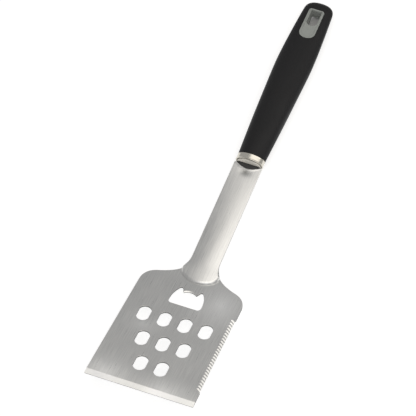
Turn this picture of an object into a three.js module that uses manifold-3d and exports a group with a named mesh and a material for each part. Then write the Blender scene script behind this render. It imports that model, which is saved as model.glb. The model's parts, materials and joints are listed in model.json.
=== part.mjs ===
// Grill spatula: slotted steel turner with a bottle opener, a sawtooth side
// and a soft-grip handle. Units are millimetres. The parts are drawn with the
// blade flat: x across, y from the blade's front edge towards the handle, z up,
// z = 0 on the blade's top face. The finished group is then tipped onto the
// two places it rests on: the heel of the blade and the belly of the handle.
import * as THREE from 'three';
import { mergeVertices } from 'three/addons/utils/BufferGeometryUtils.js';
import Module from 'manifold-3d';

const wasm = await Module();
wasm.setup();

const SHEET = 1.5;
const GAP = 0.3;
const SMALLEST_EDGE = 0.008;

const FRONT_HALF_WIDTH = 49.2;
const REAR_HALF_WIDTH = 46.9;
const SIDE_LENGTH = 112.3;
const EDGE_BEVEL_LENGTH = 5.1;
const EDGE_BEVEL_DROP = 0.95;

const SLOT_HALF_WIDTH = 5.45;
const SLOT_HALF_LENGTH = 8.0;
const SLOT_END_RADIUS = 5.8;
const SLOT_PITCH = 18.7;
const SLOT_ROW_PITCH = 25.6;
const LAST_ROW_Y = 27.1;
const SLOT_ROWS = [2, 3, 4];

const OPENER_FRONT_Y = 97.6;
const OPENER_HALF_WIDTH = 14.8;
const OPENER_NOTCH_X = 9.1;
const CLAW_TIP_X = 5.7;
const CLAW_TIP_Y = 112.6;
const CLAW_MIDDLE_Y = 114.4;
const CLAW_BEVEL = 1.1;

const TEETH = 27;
const TOOTH_PITCH = 3.05;
const TEETH_START_Y = 18.6;
const TOOTH_RADIUS = 1.9;
const TOOTH_LENGTH = 3.4;
const TOOTH_SLANT = 0.42;
const TOOTH_RECESS = 0.7;

const TONGUE_HALF_WIDTH = 18;
const TONGUE_LENGTH = 12.3;
const TONGUE_CENTRE_Y = 136.8;
const TONGUE_CROWN = 1.9;
const NECK_RISE = 0.2385;
const NECK_FOOT_Y = 123.4;
const NECK_HALF_WIDTH = 12.95;
const NECK_END_HALF_WIDTH = 12.7;
const NECK_END_Y = 243.9;
const NECK_END_CROWN = 0.2;
const NOSE_LENGTH = 4.4;
const NOSE_BACK_Y = 244.1;
const NOSE_HALF_WIDTH = 11.9;
const NOSE_LIP = 0.35;

const TANG_HALF_WIDTH = 8.6;
const TANG_END_Y = 338;
const TANG_HOLES_Y = [276, 318];
const TANG_HOLE_RADIUS = 2.6;

const RING_FRONT_Y = 245.7;
const RING_LENGTH = 5.7;
const RING_WALL = 0.8;
const RING_HALF_WIDTH = 12.5;
const RING_HALF_HEIGHT = 7.8;
const FACE_THICKNESS = 0.9;
const FACE_PROW = 1.2;
const FACE_CHORD = 1.75;

const GRIP_START_Y = RING_FRONT_Y + RING_LENGTH + GAP;
const GRIP_END_Y = 416.6;
const GRIP_WALL = 2.4;
const END_ROUNDING = 13;

const LINER_Y = 391.6;
const LINER_HALF_LENGTH = 15.5;
const LINER_HALF_WIDTH = 7.3;
const LINER_CORNER = 2.2;
const LINER_RIM = 1.25;
const LINER_TOP = 5.3;
const LINER_BOTTOM = -6.3;
const LINER_RECESS = 0.6;
const POCKET_REACH = 12;
const HOLE_HALF_WIDTH = 4.9;
const HOLE_FRONT = -1.8;
const HOLE_BACK = 14.0;

const steel = new THREE.MeshStandardMaterial({ color: 0xb4b4b0, roughness: 0.34, metalness: 1 });
const polished = new THREE.MeshStandardMaterial({ color: 0xd6d0c2, roughness: 0.1, metalness: 1 });
const satin = new THREE.MeshStandardMaterial({ color: 0xdcd7c9, roughness: 0.3, metalness: 1 });
const blackCore = new THREE.MeshStandardMaterial({ color: 0x1c1b1a, roughness: 0.45, metalness: 0 });
const softGrip = new THREE.MeshStandardMaterial({ color: 0x222224, roughness: 0.7, metalness: 0 });
const grey = new THREE.MeshStandardMaterial({ color: 0x8f9592, roughness: 0.5, metalness: 0 });

// ---------- solids ----------

function solid(geometry) {
  const bare = geometry.clone();
  bare.deleteAttribute('normal');
  bare.deleteAttribute('uv');
  const welded = mergeVertices(bare, 1e-4);
  return new wasm.Manifold(new wasm.Mesh({
    numProp: 3,
    vertProperties: new Float32Array(welded.attributes.position.array),
    triVerts: new Uint32Array(welded.index.array),
  }));
}

function named(name, manifold, material) {
  const mesh = manifold.simplify(SMALLEST_EDGE).getMesh();
  const geometry = new THREE.BufferGeometry();
  geometry.setAttribute('position', new THREE.BufferAttribute(mesh.vertProperties, 3));
  geometry.setIndex(new THREE.BufferAttribute(mesh.triVerts, 1));
  geometry.computeVertexNormals();
  const part = new THREE.Mesh(geometry, material);
  part.name = name;
  return part;
}

function indexed(points, triangles) {
  const geometry = new THREE.BufferGeometry();
  geometry.setAttribute('position', new THREE.Float32BufferAttribute(points.flat(), 3));
  geometry.setIndex(triangles);
  return solid(geometry);
}

// Sheet of rows running across; each row point is [x, y, top, bottom].
function sheetSolid(rows) {
  const columns = rows[0].length;
  const points = [];
  for (const row of rows) for (const p of row) points.push([p[0], p[1], p[2]]);
  for (const row of rows) for (const p of row) points.push([p[0], p[1], p[3]]);
  const lower = rows.length * columns;
  const at = (r, c) => r * columns + c;
  const triangles = [];
  const quad = (a, b, c, d) => triangles.push(a, b, c, a, c, d);
  for (let r = 0; r + 1 < rows.length; r++) {
    for (let c = 0; c + 1 < columns; c++) {
      quad(at(r, c), at(r, c + 1), at(r + 1, c + 1), at(r + 1, c));
      quad(lower + at(r, c), lower + at(r + 1, c), lower + at(r + 1, c + 1), lower + at(r, c + 1));
    }
    const last = columns - 1;
    quad(at(r, 0), at(r + 1, 0), lower + at(r + 1, 0), lower + at(r, 0));
    quad(at(r + 1, last), at(r, last), lower + at(r, last), lower + at(r + 1, last));
  }
  const end = rows.length - 1;
  for (let c = 0; c + 1 < columns; c++) {
    quad(at(0, c + 1), at(0, c), lower + at(0, c), lower + at(0, c + 1));
    quad(at(end, c), at(end, c + 1), lower + at(end, c + 1), lower + at(end, c));
  }
  return indexed(points, triangles);
}

// Stack of closed loops with the same count, capped at both ends.
function loft(loops) {
  const count = loops[0].length;
  const points = loops.flat();
  const triangles = [];
  for (let r = 0; r + 1 < loops.length; r++) {
    for (let c = 0; c < count; c++) {
      const next = (c + 1) % count;
      const a = r * count + c;
      const b = r * count + next;
      triangles.push(a, b, b + count, a, b + count, a + count);
    }
  }
  const middle = (loop) => loop.reduce((s, p) => s.map((v, i) => v + p[i] / count), [0, 0, 0]);
  const first = points.push(middle(loops[0])) - 1;
  const last = points.push(middle(loops[loops.length - 1])) - 1;
  const base = (loops.length - 1) * count;
  for (let c = 0; c < count; c++) {
    const next = (c + 1) % count;
    triangles.push(first, next, c);
    triangles.push(last, base + c, base + next);
  }
  return indexed(points, triangles);
}

function prism(shape, low, high, segments = 6) {
  const geometry = new THREE.ExtrudeGeometry(shape, {
    depth: high - low,
    bevelEnabled: false,
    curveSegments: segments,
  });
  geometry.translate(0, 0, low);
  return geometry;
}

function rectangle(x0, y0, x1, y1) {
  const shape = new THREE.Shape();
  shape.moveTo(x0, y0).lineTo(x1, y0).lineTo(x1, y1).lineTo(x0, y1).closePath();
  return shape;
}

// ---------- blade ----------

const lerp = (a, b, t) => a + (b - a) * t;

const shoulder = new THREE.CubicBezierCurve(
  new THREE.Vector2(REAR_HALF_WIDTH, SIDE_LENGTH),
  new THREE.Vector2(46.7, 119.6),
  new THREE.Vector2(42.6, 124.6),
  new THREE.Vector2(36, 126.8),
);
const throat = new THREE.CubicBezierCurve(
  new THREE.Vector2(36, 126.8),
  new THREE.Vector2(19.5, 132.1),
  new THREE.Vector2(NECK_HALF_WIDTH, 138.8),
  new THREE.Vector2(NECK_HALF_WIDTH, 149.3),
);
const throatPoints = throat.getPoints(60);

function halfWidth(y) {
  const end = throatPoints[60];
  if (y >= end.y) return lerp(NECK_HALF_WIDTH, NECK_END_HALF_WIDTH, (y - end.y) / (NECK_END_Y - end.y));
  const i = throatPoints.findIndex((p) => p.y > y);
  const a = throatPoints[i - 1];
  const b = throatPoints[i];
  return lerp(a.x, b.x, (y - a.y) / (b.y - a.y));
}

const EAR_Y = 136.9;
const TONGUE_INSET = 0.9;

function bladeOutline() {
  const right = [[FRONT_HALF_WIDTH, 0]];
  for (const p of shoulder.getPoints(10)) right.push([p.x, p.y]);
  for (const p of throat.getPoints(24)) if (p.y > 127 && p.y < EAR_Y - 0.3) right.push([p.x, p.y]);
  right.push([halfWidth(EAR_Y), EAR_Y]);
  const rim = [];
  for (let i = 1; i < 24; i++) {
    const angle = Math.PI * i / 24;
    const x = (TONGUE_HALF_WIDTH - TONGUE_INSET) * Math.cos(angle);
    rim.push([x, TONGUE_CENTRE_Y - (TONGUE_LENGTH - TONGUE_INSET) * Math.sin(angle)]);
  }
  const left = right.map(([x, y]) => [-x, y]).reverse();
  return new THREE.Shape([...right, ...rim, ...left].map(([x, y]) => new THREE.Vector2(x, y)));
}

function drainSlot(x, y) {
  const reach = Math.asin(SLOT_HALF_WIDTH / SLOT_END_RADIUS);
  const centre = SLOT_HALF_LENGTH - SLOT_END_RADIUS;
  const hole = new THREE.Path();
  hole.absarc(x, y + centre, SLOT_END_RADIUS, Math.PI / 2 + reach, Math.PI / 2 - reach, true);
  hole.absarc(x, y - centre, SLOT_END_RADIUS, -Math.PI / 2 + reach, -Math.PI / 2 - reach, true);
  hole.closePath();
  return hole;
}

function openerWindow() {
  const hole = new THREE.Path();
  hole.moveTo(-11.8, OPENER_FRONT_Y);
  hole.quadraticCurveTo(-OPENER_HALF_WIDTH, OPENER_FRONT_Y + 0.2, -OPENER_HALF_WIDTH, 101.8);
  hole.bezierCurveTo(-OPENER_HALF_WIDTH, 107.3, -13.2, 112.4, -10.6, 116.2);
  hole.quadraticCurveTo(-OPENER_NOTCH_X, 117.8, -7.9, 116.2);
  hole.lineTo(-CLAW_TIP_X - 0.6, CLAW_TIP_Y + 0.4);
  hole.quadraticCurveTo(-CLAW_TIP_X - 0.2, CLAW_TIP_Y - 0.3, -CLAW_TIP_X + 0.5, CLAW_TIP_Y + 0.1);
  hole.quadraticCurveTo(0, 2 * CLAW_MIDDLE_Y - CLAW_TIP_Y - 0.1, CLAW_TIP_X - 0.5, CLAW_TIP_Y + 0.1);
  hole.quadraticCurveTo(CLAW_TIP_X + 0.2, CLAW_TIP_Y - 0.3, CLAW_TIP_X + 0.6, CLAW_TIP_Y + 0.4);
  hole.lineTo(7.9, 116.2);
  hole.quadraticCurveTo(OPENER_NOTCH_X, 117.8, 10.6, 116.2);
  hole.bezierCurveTo(13.2, 112.4, OPENER_HALF_WIDTH, 107.3, OPENER_HALF_WIDTH, 101.8);
  hole.quadraticCurveTo(OPENER_HALF_WIDTH, OPENER_FRONT_Y + 0.2, 11.8, OPENER_FRONT_Y);
  hole.closePath();
  return hole;
}

function bladePlate() {
  const outline = bladeOutline();
  SLOT_ROWS.forEach((count, row) => {
    for (let i = 0; i < count; i++) {
      const x = (i - (count - 1) / 2) * SLOT_PITCH;
      outline.holes.push(drainSlot(x, LAST_ROW_Y + row * SLOT_ROW_PITCH));
    }
  });
  outline.holes.push(openerWindow());
  return solid(prism(outline, -SHEET, 0, 5));
}

// Wedge taken off the top of the front edge.
function frontBevel() {
  const side = new THREE.Shape();
  side.moveTo(-2, 1).lineTo(-2, -EDGE_BEVEL_DROP * (1 + 2 / EDGE_BEVEL_LENGTH));
  side.lineTo(EDGE_BEVEL_LENGTH, 0).lineTo(EDGE_BEVEL_LENGTH + 0.6, 1).closePath();
  const geometry = prism(side, -60, 60);
  geometry.applyMatrix4(new THREE.Matrix4().set(0, 0, 1, 0, 1, 0, 0, 0, 0, 1, 0, 0, 0, 0, 0, 1));
  return solid(geometry);
}

// Chamfer along the arched lip that catches the bottle cap.
function clawBevel() {
  const rows = [];
  for (let i = 0; i <= 8; i++) {
    const x = lerp(-CLAW_TIP_X - 0.2, CLAW_TIP_X + 0.2, i / 8);
    const y = lerp(CLAW_MIDDLE_Y, CLAW_TIP_Y, (x / CLAW_TIP_X) ** 2);
    rows.push([[x, y - 1, 1], [x, y - 1, -0.8], [x, y - 0.05, -0.8], [x, y + CLAW_BEVEL, 0], [x, y + CLAW_BEVEL, 1]]);
  }
  return loft(rows);
}

// One slanting flute ground into the top of the edge.
function toothFlute(y) {
  const edge = lerp(FRONT_HALF_WIDTH, REAR_HALF_WIDTH, y / SIDE_LENGTH) - TOOTH_RECESS;
  const cutter = new THREE.CylinderGeometry(TOOTH_RADIUS, TOOTH_RADIUS, 12, 20);
  cutter.rotateZ(-Math.PI / 2);
  cutter.translate(0, 0, TOOTH_RADIUS);
  cutter.rotateY(Math.atan2(SHEET * 0.85, TOOTH_LENGTH));
  cutter.rotateZ(-TOOTH_SLANT);
  cutter.translate(edge - TOOTH_LENGTH, y + 0.6, -0.02);
  return solid(cutter);
}

function sawEdge(plate) {
  const start = TEETH_START_Y - TOOTH_PITCH / 2;
  const end = start + TEETH * TOOTH_PITCH;
  const edgeAt = (y) => lerp(FRONT_HALF_WIDTH, REAR_HALF_WIDTH, y / SIDE_LENGTH) - TOOTH_RECESS;
  const strip = new THREE.Shape();
  strip.moveTo(edgeAt(start), start).lineTo(60, start - 6).lineTo(60, end + 6);
  strip.lineTo(edgeAt(end), end).closePath();
  let cut = plate.subtract(solid(prism(strip, -3, 3)));
  for (let i = 0; i < TEETH; i++) cut = cut.subtract(toothFlute(TEETH_START_Y + i * TOOTH_PITCH));
  return cut;
}

// ---------- neck and tang ----------

const axisHeight = (y) => 31.15 + 0.221 * (y - 257.3) - 0.00011 * (y - 257.3) ** 2;
const axisSlope = (y) => 0.221 - 0.00022 * (y - 257.3);

function neckTop(x, y) {
  const along = Math.min(1, Math.max(0, (y - 125) / (NECK_END_Y - 125)));
  const crown = lerp(TONGUE_CROWN, NECK_END_CROWN, along);
  const across = x / Math.max(halfWidth(Math.max(y, 137)), 1);
  return NECK_RISE * (y - NECK_FOOT_Y) + crown * (1 - Math.min(1, across * across));
}

// Share of the full height reached a given distance inside the tongue's foot.
function tongueRise(distance) {
  const t = Math.min(1, Math.max(0, (distance + 0.1) / 2.3));
  return t * t * (3 - 2 * t);
}

const NECK_COLUMNS = 20;

function neckRow({ x: reach, y, bulge, pointed, height }) {
  const row = [];
  for (let c = 0; c <= NECK_COLUMNS; c++) {
    const u = Math.sin(Math.PI * (c / NECK_COLUMNS - 0.5));
    const round = Math.sqrt(Math.max(0, 1 - u * u));
    const shape = lerp(round, Math.cos(Math.PI * u / 2), pointed);
    const px = reach * u;
    const py = y - bulge * shape;
    row.push([px, py, ...height(px, py)]);
  }
  return row;
}

function tongueRows() {
  const rows = [];
  for (const inset of [-0.55, 0, 0.35, 0.7, 1.05, 1.45, 1.9, 2.5]) {
    const share = tongueRise(inset);
    const y = TONGUE_CENTRE_Y + 0.05 + Math.max(0, inset) * 0.75;
    rows.push(neckRow({
      x: Math.min(TONGUE_HALF_WIDTH - inset, halfWidth(y) - 0.02),
      y,
      bulge: TONGUE_LENGTH - inset + Math.max(0, inset) * 0.75,
      pointed: 0,
      height: (px, py) => {
        if (inset < 0) return [-0.3, -1.2];
        const top = share * neckTop(px, py) + 0.02;
        return [top, top - lerp(1.35, 1.56, share) - share * 0.25 * (1 - share) * 4];
      },
    }));
  }
  return rows;
}

function neckRows() {
  const rows = [];
  const plain = (px, py) => {
    const top = neckTop(px, py);
    return [top, top - 1.56];
  };
  for (const step of [0.12, 0.26, 0.42, 0.6, 0.8, 1]) {
    const y = lerp(TONGUE_CENTRE_Y + 2.2, 151, step);
    const bulge = lerp(TONGUE_LENGTH - 0.6, 0, step ** 0.8);
    rows.push(neckRow({ x: halfWidth(y), y, bulge, pointed: 0, height: plain }));
  }
  for (const y of [163, 178, 193, 208, 223, 233]) {
    rows.push(neckRow({ x: halfWidth(y), y, bulge: 0, pointed: 0, height: plain }));
  }
  return rows;
}

// The neck's end dips into a low lip around the handle's black nose.
function lipRows() {
  const rows = [];
  const heights = [[-2.6, 0], [-1.5, 0.25], [-0.9, 1], [-0.4, 0.9], [-0.15, 0], [2, 0]];
  for (const [offset, share] of heights) {
    rows.push(neckRow({
      x: halfWidth(240),
      y: Math.min(NECK_END_Y - 0.1, NOSE_BACK_Y + offset * 0.6),
      bulge: NOSE_LENGTH - (NOSE_BACK_Y - NECK_END_Y) - offset * 0.4 - Math.max(0, offset) * 1.6,
      pointed: 1,
      height: (px, py) => {
        const inside = 1 - Math.min(1, Math.abs(px) / NOSE_HALF_WIDTH) ** 6;
        const top = neckTop(px, py) + NOSE_LIP * share * inside;
        return [top, neckTop(px, py) - 1.56];
      },
    }));
  }
  rows.push(neckRow({
    x: halfWidth(240),
    y: NECK_END_Y,
    bulge: 0,
    pointed: 1,
    height: (px, py) => [neckTop(px, py), neckTop(px, py) - 1.56],
  }));
  return rows;
}

function tang() {
  const rows = [];
  for (const y of [236, 244, 250, 262, 276, 290, 304, 318, 330, TANG_END_Y]) {
    const blend = Math.min(1, Math.max(0, (y - 243) / 18));
    const width = lerp(TANG_HALF_WIDTH, TANG_HALF_WIDTH - 1.6, Math.max(0, (y - 250) / 88));
    const top = lerp(NECK_RISE * (y - NECK_FOOT_Y) - 0.06, axisHeight(y) + 0.7, blend);
    const row = [];
    for (let c = 0; c <= 2; c++) row.push([width * (c - 1), y, top, top - 1.42]);
    rows.push(row);
  }
  let blank = sheetSolid(rows);
  for (const y of TANG_HOLES_Y) blank = blank.subtract(tangPin(y, TANG_HOLE_RADIUS));
  return blank;
}

function tangPin(y, radius) {
  const pin = new THREE.CylinderGeometry(radius, radius, 8, 20);
  pin.rotateX(Math.PI / 2);
  pin.translate(0, y, axisHeight(y));
  return solid(pin);
}

function bladeAndNeck() {
  let blade = bladePlate().subtract(frontBevel()).subtract(clawBevel());
  blade = sawEdge(blade);
  const neck = sheetSolid([...tongueRows(), ...neckRows(), ...lipRows()]);
  return blade.add(neck).add(tang());
}

// ---------- handle ----------

// Smooth curve through the half sizes given at shares of the grip's length.
function profile(knots) {
  const curve = new THREE.SplineCurve(knots.map(([t, v]) => new THREE.Vector2(t * 100, v)));
  const samples = curve.getPoints(80);
  return (t) => {
    const s = t * 100;
    const i = Math.min(samples.length - 1, Math.max(1, samples.findIndex((p) => p.x > s)));
    const a = samples[i - 1];
    const b = samples[i];
    return lerp(a.y, b.y, Math.min(1, Math.max(0, (s - a.x) / (b.x - a.x))));
  };
}

const gripWidth = profile([[-0.06, 12.3], [0, 12.55], [0.2, 14.1], [0.42, 15.5], [0.6, 16.4], [0.78, 15.3], [1, 12.7]]);
const gripTop = profile([[-0.06, 7.7], [0, 7.9], [0.25, 8.5], [0.5, 7.9], [0.75, 5.7], [1, 4.6]]);
const gripBelly = profile([[-0.06, 7.7], [0, 7.9], [0.25, 8.7], [0.5, 8.6], [0.75, 7.1], [1, 5.9]]);

function endShrink(y, inset) {
  const t = Math.max(0, (y - (GRIP_END_Y - END_ROUNDING)) / (END_ROUNDING - inset));
  return Math.max(0, 1 - t ** 4.4) ** 0.5;
}

function ovalLoop(y, width, top, belly, power, count) {
  const slope = Math.atan(axisSlope(y));
  const loop = [];
  for (let i = 0; i < count; i++) {
    const angle = -2 * Math.PI * i / count;
    const c = Math.cos(angle);
    const s = Math.sin(angle);
    const x = width * Math.sign(c) * Math.abs(c) ** (2 / power);
    const n = (s > 0 ? top : belly) * Math.sign(s) * Math.abs(s) ** (2 / power);
    loop.push([x, y - n * Math.sin(slope), axisHeight(y) + n * Math.cos(slope)]);
  }
  return loop;
}

function gripLoop(y, inset, count) {
  const t = (y - GRIP_START_Y) / (GRIP_END_Y - GRIP_START_Y);
  const shrink = endShrink(y, inset);
  const power = lerp(2, 2.35, Math.min(1, Math.max(0, t * 4)));
  const size = (value) => Math.max(0.8, (value - inset) * shrink);
  return ovalLoop(y, size(gripWidth(t)), size(gripTop(t)), size(gripBelly(t)), power, count);
}

function gripLoft(start, inset, count) {
  const end = GRIP_END_Y - inset;
  const loops = [];
  const roundStart = end - END_ROUNDING + inset;
  const steps = 12;
  for (let i = 0; i < steps; i++) loops.push(gripLoop(lerp(start, roundStart, i / steps), inset, count));
  for (const share of [0, 0.3, 0.5, 0.68, 0.82, 0.92, 0.98, 1]) {
    loops.push(gripLoop(lerp(roundStart, end - 0.02, share), inset, count));
  }
  return loft(loops);
}

// Local frame on the handle's centre line at a given y: x, outward normal, axis.
function handleFrame(y) {
  const slope = Math.atan(axisSlope(y));
  const axis = new THREE.Vector3(0, Math.cos(slope), Math.sin(slope));
  const normal = new THREE.Vector3(0, -Math.sin(slope), Math.cos(slope));
  return { axis, normal, centre: new THREE.Vector3(0, y, axisHeight(y)) };
}

// Shape drawn in (x, along the handle), extruded along the handle's normal.
function onHandle(shape, y, low, high, segments = 6) {
  const { axis, normal, centre } = handleFrame(y);
  const geometry = prism(shape, low, high, segments);
  const matrix = new THREE.Matrix4().makeBasis(new THREE.Vector3(1, 0, 0), axis, normal);
  geometry.applyMatrix4(matrix.setPosition(centre));
  return solid(geometry);
}

// Shape drawn in (x, outward normal), extruded along the handle's axis.
function acrossHandle(shape, y, low, high, segments = 12) {
  const { axis, normal, centre } = handleFrame(y);
  const geometry = prism(shape, -high, -low, segments);
  const matrix = new THREE.Matrix4().makeBasis(new THREE.Vector3(1, 0, 0), normal, axis.clone().negate());
  geometry.applyMatrix4(matrix.setPosition(centre));
  return solid(geometry);
}

// Moves a solid drawn as (x, outward normal, forwards) onto the handle.
function ontoHandleFace(drawn, y) {
  const { axis, normal, centre } = handleFrame(y);
  const back = axis.clone().negate();
  const matrix = new THREE.Matrix4().makeBasis(new THREE.Vector3(1, 0, 0), normal, back);
  return drawn.transform(matrix.setPosition(centre).elements);
}

function oval(halfWidthX, halfHeight) {
  const shape = new THREE.Shape();
  shape.absellipse(0, 0, halfWidthX, halfHeight, 0, 2 * Math.PI, false, 0);
  return shape;
}

// Oval tube from a closed outline of [along, outward] steps.
function ovalTube(y, outline, count) {
  const { axis, normal, centre } = handleFrame(y);
  const points = [];
  for (let i = 0; i < count; i++) {
    const angle = 2 * Math.PI * i / count;
    for (const [along, out] of outline) {
      const point = centre.clone().addScaledVector(axis, along);
      point.x += (RING_HALF_WIDTH + out) * Math.cos(angle);
      point.addScaledVector(normal, (RING_HALF_HEIGHT + out) * Math.sin(angle));
      points.push(point.toArray());
    }
  }
  const n = outline.length;
  const triangles = [];
  for (let i = 0; i < count; i++) {
    for (let j = 0; j < n; j++) {
      const a = i * n + j;
      const b = i * n + (j + 1) % n;
      const c = ((i + 1) % count) * n + (j + 1) % n;
      const d = ((i + 1) % count) * n + j;
      triangles.push(a, b, c, a, c, d);
    }
  }
  return indexed(points, triangles);
}

function ferruleRing() {
  const bead = 0.22;
  const outline = [
    [0, -RING_WALL], [0, -0.25], [0.2, bead * 0.7], [0.5, bead], [0.85, bead * 0.6], [1.1, 0],
    [RING_LENGTH - 0.9, 0], [RING_LENGTH - 0.65, bead * 0.7], [RING_LENGTH - 0.3, bead],
    [RING_LENGTH, -0.15], [RING_LENGTH, -RING_WALL],
  ];
  return ovalTube(RING_FRONT_Y, outline, 48);
}

function ferruleFace() {
  const width = RING_HALF_WIDTH - RING_WALL - GAP;
  const height = RING_HALF_HEIGHT - RING_WALL - GAP;
  const rows = [];
  for (let i = 0; i <= 16; i++) {
    const angle = Math.PI * (i / 16 - 0.5) * 0.98;
    const n = height * Math.sin(angle);
    const front = FACE_PROW * Math.min(1, (1 - Math.abs(n) / height) * 1.3) + 0.1;
    const row = [];
    for (let c = 0; c <= 6; c++) {
      row.push([width * Math.cos(angle) * (c / 3 - 1), n, front, front - FACE_THICKNESS]);
    }
    rows.push(row);
  }
  const slot = prism(rectangle(-TANG_HALF_WIDTH - 0.9, -2.5, TANG_HALF_WIDTH + 0.9, FACE_CHORD), -2, 3);
  return ontoHandleFace(sheetSolid(rows).subtract(solid(slot)), RING_FRONT_Y);
}

// Low wedge of the core that lies on the neck in front of the ferrule.
function coreNose() {
  const rows = [];
  const clear = 0.28;
  for (const share of [1, 0.97, 0.75, 0.5, 0.25, 0.02]) {
    const row = [];
    for (let c = 0; c <= 20; c++) {
      const u = Math.sin(Math.PI * (c / 20 - 0.5));
      const x = (NOSE_HALF_WIDTH - clear) * u;
      const reach = (NOSE_LENGTH - clear) * Math.cos(Math.PI * u / 2) * share;
      const y = NOSE_BACK_Y - reach;
      const floor = neckTop(x, y) + clear;
      const rise = share === 1 ? 0.2 : 0.3 + 0.12 * (1 - share);
      row.push([x, y, floor + rise, floor]);
    }
    rows.push(row);
  }
  const body = sheetSolid(rows);
  const bridge = rectangle(-TANG_HALF_WIDTH - 0.4, 1.02, TANG_HALF_WIDTH + 0.4, 1.4);
  return body.add(acrossHandle(bridge, RING_FRONT_Y, -2.4, FACE_THICKNESS + 0.6));
}

function tangSlot() {
  const rows = [];
  for (const y of [240, 250, 262, 276, 290, 304, 318, 330, TANG_END_Y + GAP]) {
    const blend = Math.min(1, Math.max(0, (y - 243) / 18));
    const width = lerp(TANG_HALF_WIDTH, TANG_HALF_WIDTH - 1.6, Math.max(0, (y - 250) / 88)) + GAP;
    const top = lerp(NECK_RISE * (y - NECK_FOOT_Y) - 0.06, axisHeight(y) + 0.7, blend);
    rows.push([[-width, y, top + GAP, top - 1.42 - GAP], [width, y, top + GAP, top - 1.42 - GAP]]);
  }
  return sheetSolid(rows);
}

function linerOutline(grow) {
  const w = LINER_HALF_WIDTH + grow;
  const back = LINER_HALF_LENGTH + grow;
  const r = LINER_CORNER + grow;
  const front = -LINER_HALF_LENGTH - grow;
  const shape = new THREE.Shape();
  shape.moveTo(w, front + 6.4 + grow * 0.5);
  shape.lineTo(w - 0.25, back - r);
  shape.absarc(w - 0.25 - r, back - r, r, 0, Math.PI / 2, false);
  shape.absarc(-w + 0.25 + r, back - r, r, Math.PI / 2, Math.PI, false);
  shape.lineTo(-w, front + 6.4 + grow * 0.5);
  shape.bezierCurveTo(-w, front + 2.2, -w * 0.55, front, 0, front);
  shape.bezierCurveTo(w * 0.55, front, w, front + 2.2, w, front + 6.4 + grow * 0.5);
  return shape;
}

function hangHole() {
  const shape = new THREE.Shape();
  shape.moveTo(HOLE_HALF_WIDTH, HOLE_FRONT + 2.6);
  shape.lineTo(HOLE_HALF_WIDTH - 0.1, HOLE_BACK - 0.6);
  shape.quadraticCurveTo(HOLE_HALF_WIDTH - 0.1, HOLE_BACK, HOLE_HALF_WIDTH - 0.7, HOLE_BACK);
  shape.lineTo(-HOLE_HALF_WIDTH + 0.7, HOLE_BACK);
  shape.quadraticCurveTo(-HOLE_HALF_WIDTH + 0.1, HOLE_BACK, -HOLE_HALF_WIDTH + 0.1, HOLE_BACK - 0.6);
  shape.lineTo(-HOLE_HALF_WIDTH, HOLE_FRONT + 2.6);
  shape.quadraticCurveTo(-HOLE_HALF_WIDTH * 0.6, HOLE_FRONT, 0, HOLE_FRONT);
  shape.quadraticCurveTo(HOLE_HALF_WIDTH * 0.6, HOLE_FRONT, HOLE_HALF_WIDTH, HOLE_FRONT + 2.6);
  return shape;
}

function linerHalf(low, high, recessLow, recessHigh) {
  const body = onHandle(linerOutline(0), LINER_Y, low, high);
  const recess = onHandle(linerOutline(-LINER_RIM), LINER_Y, recessLow, recessHigh);
  const hole = onHandle(hangHole(), LINER_Y, -POCKET_REACH, POCKET_REACH);
  return body.subtract(recess).subtract(hole);
}

function linerTop() {
  return linerHalf(GAP / 2, LINER_TOP, LINER_TOP - LINER_RECESS, LINER_TOP + 1);
}

// The lower half carries two snap windows in the wall nearest the handle's end.
function linerBottom() {
  let half = linerHalf(LINER_BOTTOM, -GAP / 2, LINER_BOTTOM - 1, LINER_BOTTOM + LINER_RECESS);
  for (const side of [-1, 1]) {
    const x = side * 2.3;
    const window = rectangle(x - 1.6, HOLE_BACK - 1, x + 1.6, LINER_HALF_LENGTH + 1);
    half = half.subtract(onHandle(window, LINER_Y, -4.9, -3.6));
  }
  return half;
}

function handleCore() {
  const inset = GRIP_WALL + GAP;
  const plugWidth = RING_HALF_WIDTH - RING_WALL - GAP;
  const plugHeight = RING_HALF_HEIGHT - RING_WALL - GAP;
  const plugStart = FACE_THICKNESS - 0.1 + GAP;
  const plug = acrossHandle(oval(plugWidth, plugHeight), RING_FRONT_Y, plugStart, RING_LENGTH - 0.1, 24);
  let core = gripLoft(RING_FRONT_Y + RING_LENGTH - 1.5, inset, 32).add(plug);
  core = core.subtract(tangSlot());
  core = core.subtract(onHandle(linerOutline(GAP), LINER_Y, -POCKET_REACH, POCKET_REACH, 4)).add(coreNose());
  for (const y of TANG_HOLES_Y) core = core.add(tangPin(y, TANG_HOLE_RADIUS - GAP));
  return core;
}

function softSkin() {
  const outer = gripLoft(GRIP_START_Y, 0, 44);
  const inner = gripLoft(GRIP_START_Y - 4, GRIP_WALL, 32);
  const pocket = onHandle(linerOutline(GAP), LINER_Y, -POCKET_REACH, POCKET_REACH, 4);
  return outer.subtract(inner).subtract(pocket);
}

// ---------- assembly ----------

const pieces = [
  named('blade_and_neck', bladeAndNeck(), steel),
  named('ferrule_ring', ferruleRing(), polished),
  named('ferrule_face', ferruleFace(), satin),
  named('handle_core', handleCore(), blackCore),
  named('soft_grip', softSkin(), softGrip),
  named('hang_liner_top', linerTop(), grey),
  named('hang_liner_bottom', linerBottom(), grey),
];

// Tip at which the blade's heel and the lowest part of the handle share a plane.
function restAngle(heelY, heelZ) {
  let angle = Math.PI / 4;
  for (const piece of pieces) {
    const position = piece.geometry.attributes.position;
    for (let i = 0; i < position.count; i++) {
      if (position.getY(i) < heelY + 80) continue;
      angle = Math.min(angle, Math.atan2(position.getZ(i) - heelZ, position.getY(i) - heelY));
    }
  }
  return angle;
}

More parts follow.
